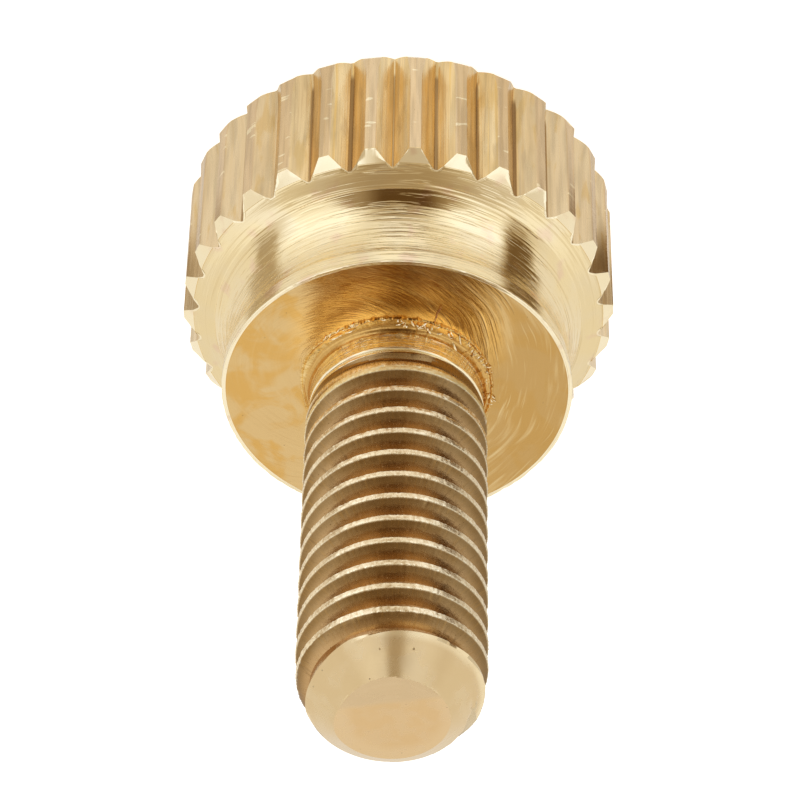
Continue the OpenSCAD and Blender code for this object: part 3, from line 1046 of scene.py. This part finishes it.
def floor_level(g):
    """What the metal mirrors of the floor: greyer close to the head, a painted contact shadow, and brightest
    under the soft boxes; in front it dims farther off, where the photographer stands."""
    x, y, _ = g.split(g.place())
    far = g.length(x, y)
    turn = g.bearing(x, y)
    boxes = g.add(g.mul(g.step(turn, 13, 30), g.step(turn, 76, 56)),
                  g.mul(g.step(turn, -13, -30), g.step(turn, -64, -52)))
    front = g.step(g.abs(turn), 23, 6)
    # Painted contact shadow: greyer close to the head
    level = g.step(far, 7.5, 13, 0.8, 0.9)
    level = g.add(level, g.mul(boxes, g.add(g.step(far, 9, 15, 0, 0.12), g.step(far, 14, 24, 0, 0.32))))
    falls = g.add(g.step(far, 14, 27, 0, -0.4), g.step(far, 30, 70, 0, -0.14))
    level = g.add(level, g.mul(front, g.add(g.step(far, 20, 12, 0, 0.24), falls)))
    near = g.step(far, 20, 9)
    for centre, swing, half, depth in FLOOR_BANDS:
        off = g.abs(g.sub(turn, g.add(g.mul(near, float(swing)), float(centre))))
        spread = g.div(off, g.step(near, 0, 1, half, half + 5))
        level = g.shade(level, g.mul(g.step(spread, 1.25, 0.6), g.step(far, 7.6, 9.2)), depth)
    return level


def paper_floor():
    """A sheet that the camera sees as plain white paper."""
    mesh = bpy.data.meshes.new("floor")
    s = 0.6
    mesh.from_pydata([(-s, -s, 0), (s, -s, 0), (s, s, 0), (-s, s, 0)], [], [(0, 1, 2, 3)])
    floor = place_object("floor", mesh)
    mat = bpy.data.materials.new("floor_paper")
    mat.use_nodes = True
    g = Graph(mat.node_tree)
    paper = g.tree.nodes["Principled BSDF"]
    looks = {"Base Color": (0.92, 0.92, 0.92, 1), "Roughness": 1.0, "Specular IOR Level": 0,
             "Emission Color": (1, 1, 1, 1), "Emission Strength": 0.74}
    for name, value in looks.items():
        g.put(paper.inputs[name], value)
    glow = g.node("ShaderNodeEmission", {"Color": warm_where_dim(g, floor_level(g)), "Strength": 1.0})
    g.plain_to_camera(paper, glow, "Material Output")
    mesh.materials.append(mat)


def tent_level(g, side, up):
    """A white tent, brightest in a band at half height and least bright on the right, and two soft boxes low
    down, whose tops climb away from the gap between them."""
    left = g.mul(g.step(side, -62, 40), g.step(side, 78, 92, 0.14, 0.2))
    tent = g.add(g.step(side, -64, -92, 0.66, 0.86), left)
    band = g.mul(g.step(up, 30, 37), g.step(up, 56, 50))
    tent = g.toward(tent, g.step(g.abs(side), 80, 130, 1.12, 0.96), band)
    for sign, near_edge, end, lift, bright in SOFT_BOXES:
        s = g.mul(side, float(sign))
        over = g.sub(up, g.step(s, 20, 50, lift, lift + 18))
        lit = g.mul(g.step(s, near_edge, near_edge + 12), g.step(s, end + 9, end - 3))
        lit = g.mul(lit, g.step(over, 7, -3))
        tent = g.toward(tent, g.step(up, 11, -1, bright - 0.32, bright), lit)
    return tent


def add_photographer(g, light, side, up):
    """In the gap: a dim part that widens upward to half height, and a dark core, narrow but tall."""
    wide = g.step(up, -12, 26, 14, 38)
    across = g.div(g.abs(g.add(side, -1.0)), wide)
    light = g.toward(light, 0.28, g.mul(g.step(across, 1.28, 0.82), g.step(up, 37, 30)))
    core = g.add(g.step(up, 30, 39, 0.06, 0.5), g.step(up, 6, -12, 0, 0.34))
    slim = g.step(up, -12, 8, 9, 15)
    across = g.div(g.abs(g.add(side, 2.0)), slim)
    return g.toward(light, core, g.step(across, 1.75, 0.7))


def studio():
    """The world that the metal mirrors; the camera sees it as plain white."""
    world = bpy.data.worlds.new("studio")
    bpy.context.scene.world = world
    world.use_nodes = True
    g = Graph(world.node_tree)
    x, y, z = g.split(g.node("ShaderNodeTexCoord").outputs["Generated"])
    side = g.bearing(x, y)
    up = g.mul(g.math("ARCSINE", z), 180 / math.pi)
    light = add_photographer(g, tent_level(g, side, up), side, up)
    # Overhead it is dim, most of all on the photographer's side
    overhead = g.step(g.abs(side), 20, 100, 0.31, 0.74)
    light = g.toward(light, overhead, g.step(up, 51, 58))
    light = g.toward(light, 0.48, g.step(up, 74, 88))
    for centre, half, top, depth in STRIPS:
        off = g.abs(g.add(side, float(-centre)))
        light = g.shade(light, g.mul(g.step(off, half, half * 0.4), g.step(up, top, top * 0.2)), depth)
    mirrored = g.tree.nodes["Background"]
    g.put(mirrored.inputs["Color"], warm_where_dim(g, light))
    mirrored.inputs["Strength"].default_value = 1.0
    plain = g.node("ShaderNodeBackground", {"Color": (1, 1, 1, 1), "Strength": 1.0})
    g.plain_to_camera(plain, mirrored, "World Output")


def camera():
    """The photograph's camera: it looks down at 46 degrees on the tip's side, with the head at the top."""
    distance, elevation, roll = 0.1082385, 0.804215, 0.0185598
    target_z = COLLAR_Z * MM + 0.0003137
    back = Vector((0, -math.cos(elevation), math.sin(elevation)))
    down = (Vector((0, 0, 1)) - math.sin(elevation) * back).normalized()
    right = down.cross(-back)
    x = math.cos(roll) * right - math.sin(roll) * down
    y = math.sin(roll) * right + math.cos(roll) * down
    data = bpy.data.cameras.new("camera")
    cam = place_object("camera", data)
    m = Matrix((x, -y, back)).transposed().to_4x4()
    m.translation = Vector((0, 0, target_z)) + distance * back
    cam.matrix_world = m
    data.sensor_width = 36
    data.lens = 177.97
    data.shift_x = 0.00415
    data.clip_start, data.clip_end = 0.005, 10
    bpy.context.scene.camera = cam


bpy.context.scene.view_settings.view_transform = "Standard"
build()
paper_floor()
studio()
camera()
